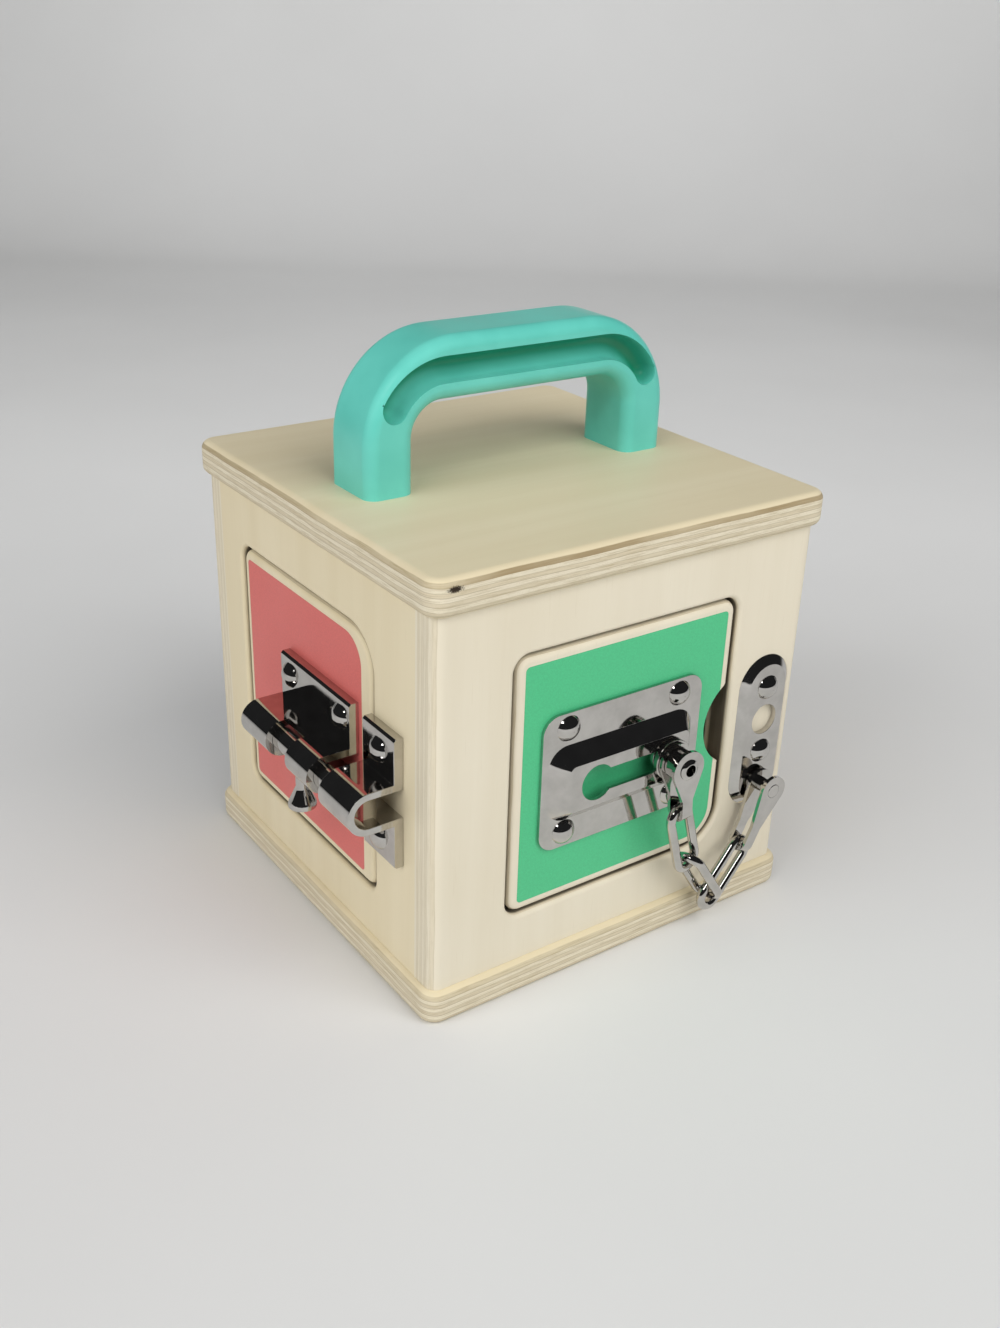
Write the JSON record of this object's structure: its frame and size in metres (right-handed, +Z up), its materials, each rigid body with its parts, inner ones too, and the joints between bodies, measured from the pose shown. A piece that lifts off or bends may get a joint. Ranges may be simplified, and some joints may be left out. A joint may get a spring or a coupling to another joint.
{
  "type": "latch lock box",
  "caption": "Plywood cube box with a latched door on every side and a grooved carrying handle on top, for practising a chain lock, barrel bolt, hook and turn button.",
  "frame": {"origin": "centre of the underside of the base board", "axes": "+Z up, -Y towards the chain door, -X towards the bolt door, the handle runs along X"},
  "size_m": [0.1812, 0.1707, 0.2],
  "materials": {
    "birch_plywood": "sanded, clear lacquer",
    "beech_dowel": "plain",
    "teal_handle": "satin",
    "brass_insert": "turned",
    "zinc_steel": "zinc plated",
    "green_facing": "satin",
    "red_facing": "satin",
    "yellow_facing": "satin",
    "blue_facing": "satin",
    "bright_nickel": "polished"
  },
  "bodies": {
    "box": {"base_board": "birch_plywood", "top_board": "birch_plywood", "front_wall": "birch_plywood", "back_wall": "birch_plywood", "left_wall": "birch_plywood", "right_wall": "birch_plywood", "corner_dowels": "beech_dowel", "board_dowels": "beech_dowel", "door_stops": "birch_plywood", "carry_handle": "teal_handle", "handle_inserts": "brass_insert", "handle_screws": "zinc_steel", "front_door_pins": "zinc_steel", "left_door_pins": "zinc_steel", "right_door_pins": "zinc_steel", "back_door_pins": "zinc_steel", "anchor_plate": "bright_nickel", "anchor_rivets": "bright_nickel", "anchor_stud": "bright_nickel", "bolt_keeper": "bright_nickel", "keeper_rivets": "bright_nickel", "hook_eye": "bright_nickel", "button_screw": "bright_nickel"},
    "front_door": {"front_door": "birch_plywood", "front_door_facing": "green_facing", "track_plate": "bright_nickel", "track_rivets": "bright_nickel"},
    "slider": {"slider_stud": "bright_nickel"},
    "slider_strap": {"slider_strap": "bright_nickel"},
    "upper_link": {"upper_link": "bright_nickel"},
    "lower_link": {"lower_link": "bright_nickel"},
    "anchor_strap": {"anchor_strap": "bright_nickel"},
    "side_link": {"side_link": "bright_nickel"},
    "left_door": {"left_door": "birch_plywood", "left_door_facing": "red_facing", "bolt_plate": "bright_nickel", "bolt_plate_rivets": "bright_nickel"},
    "bolt": {"bolt_rod": "bright_nickel", "bolt_knob": "bright_nickel"},
    "right_door": {"right_door": "birch_plywood", "right_door_facing": "yellow_facing", "door_eye": "bright_nickel"},
    "hook": {"hook": "bright_nickel"},
    "back_door": {"back_door": "birch_plywood", "back_door_facing": "blue_facing"},
    "turn_button": {"turn_button": "bright_nickel"}
  },
  "joints": [
    {"name": "front_door_hinge", "type": "hinge", "parent": "box", "child": "front_door", "pos_m": [-0.0405, -0.069, 0.0752], "axis": [0, 0, -1], "range_deg": [0, 90]},
    {"name": "chain_slide", "type": "slide", "parent": "front_door", "child": "slider", "axis": [-1, 0, 0], "range_m": [0, 0.0295]},
    {"name": "strap_swing", "type": "hinge", "parent": "slider", "child": "slider_strap", "pos_m": [0.0128, -0.0855, 0.0735], "axis": [0, -1, 0], "range_deg": [0, 24.1]},
    {"name": "upper_link_swing", "type": "hinge", "parent": "slider_strap", "child": "upper_link", "pos_m": [0.01424, -0.0855, 0.05285], "axis": [0, -1, 0], "range_deg": [-5.2, 0]},
    {"name": "lower_link_swing", "type": "hinge", "parent": "upper_link", "child": "lower_link", "pos_m": [0.01998, -0.0845, 0.03521], "axis": [0, -1, 0], "range_deg": [-5, 0]},
    {"name": "anchor_strap_swing", "type": "hinge", "parent": "box", "child": "anchor_strap", "pos_m": [0.0585, -0.08105, 0.0485], "axis": [0, -1, 0], "range_deg": [-24.7, 0]},
    {"name": "side_link_swing", "type": "hinge", "parent": "anchor_strap", "child": "side_link", "pos_m": [0.04783, -0.08105, 0.02622], "axis": [0, -1, 0], "range_deg": [0, 11.8]},
    {"name": "left_door_hinge", "type": "hinge", "parent": "box", "child": "left_door", "pos_m": [-0.069, 0.044, 0.0752], "axis": [0, 0, -1], "range_deg": [0, 90]},
    {"name": "bolt_slide", "type": "slide", "parent": "left_door", "child": "bolt", "axis": [0, 1, 0], "range_m": [-0.0105, 0.008]},
    {"name": "right_door_hinge", "type": "hinge", "parent": "box", "child": "right_door", "pos_m": [0.069, -0.039, 0.0752], "axis": [0, 0, -1], "range_deg": [0, 90]},
    {"name": "hook_swing", "type": "hinge", "parent": "box", "child": "hook", "pos_m": [0.0825, 0.0567, 0.0712], "axis": [-1, 0, 0], "range_deg": [-270, 0]},
    {"name": "back_door_hinge", "type": "hinge", "parent": "box", "child": "back_door", "pos_m": [0.039, 0.069, 0.0752], "axis": [0, 0, -1], "range_deg": [0, 90]},
    {"name": "button_turn", "type": "hinge", "parent": "box", "child": "turn_button", "pos_m": [-0.0517, 0.0765, 0.0752], "axis": [0, -1, 0], "range_deg": [-90, 90]}
  ],
  "couplings": [
    {"joint": "strap_swing", "follows": "chain_slide", "rad_per_m": 13.705},
    {"joint": "upper_link_swing", "follows": "chain_slide", "rad_per_m": -2.6991},
    {"joint": "lower_link_swing", "follows": "chain_slide", "rad_per_m": -2.6099},
    {"joint": "anchor_strap_swing", "follows": "chain_slide", "rad_per_m": -14.017},
    {"joint": "side_link_swing", "follows": "chain_slide", "rad_per_m": 6.5833}
  ]
}
